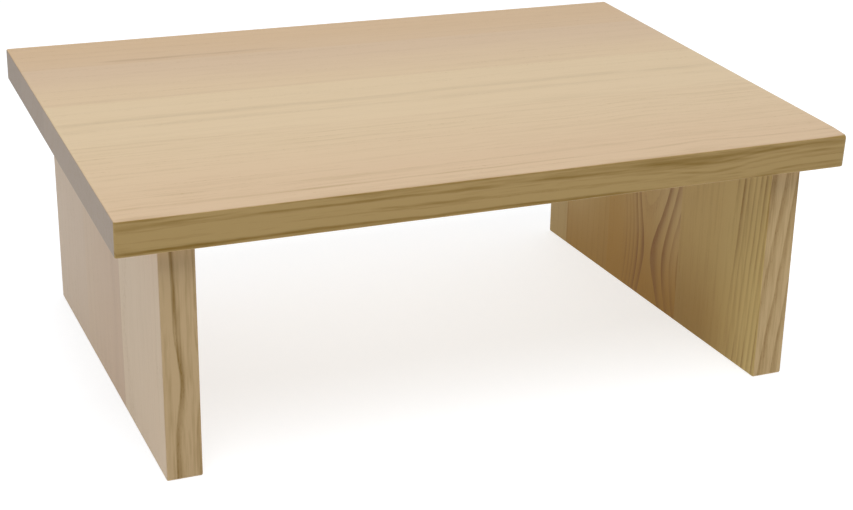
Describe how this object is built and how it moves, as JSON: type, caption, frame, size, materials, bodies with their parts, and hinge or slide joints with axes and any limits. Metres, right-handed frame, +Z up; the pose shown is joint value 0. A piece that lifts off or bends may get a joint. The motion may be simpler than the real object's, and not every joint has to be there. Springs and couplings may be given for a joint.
{
  "type": "monitor riser stand",
  "caption": "Low wooden desk stand: a gently sloping board on two upright side legs lifts a screen and leaves the space below open.",
  "frame": {"origin": "on the floor, under the middle of the stand's outer box", "axes": "+X across the stand to its right as seen from the front, +Y to the back, +Z up"},
  "size_m": [0.45, 0.3126, 0.1758],
  "materials": {
    "ash_pink": "satin clear lacquer on pinkish straight-grained ash",
    "ash_yellow": "satin clear lacquer on paler, yellower ash",
    "ash_legs": "satin clear lacquer on upright-grained ash",
    "beech_dowels": "plain turned beech, unfinished"
  },
  "bodies": {
    "root": {"top_back_stave": "ash_pink", "top_rear_middle_stave": "ash_pink", "top_front_middle_stave": "ash_yellow", "top_front_stave": "ash_pink", "left_leg_back_stave": "ash_legs", "left_leg_middle_stave": "ash_legs", "left_leg_front_stave": "ash_legs", "right_leg_edge_stave": "ash_legs", "right_leg_back_stave": "ash_legs", "right_leg_middle_stave": "ash_legs", "right_leg_front_stave": "ash_legs", "left_dowels": "beech_dowels", "right_dowels": "beech_dowels"}
  },
  "joints": []
}
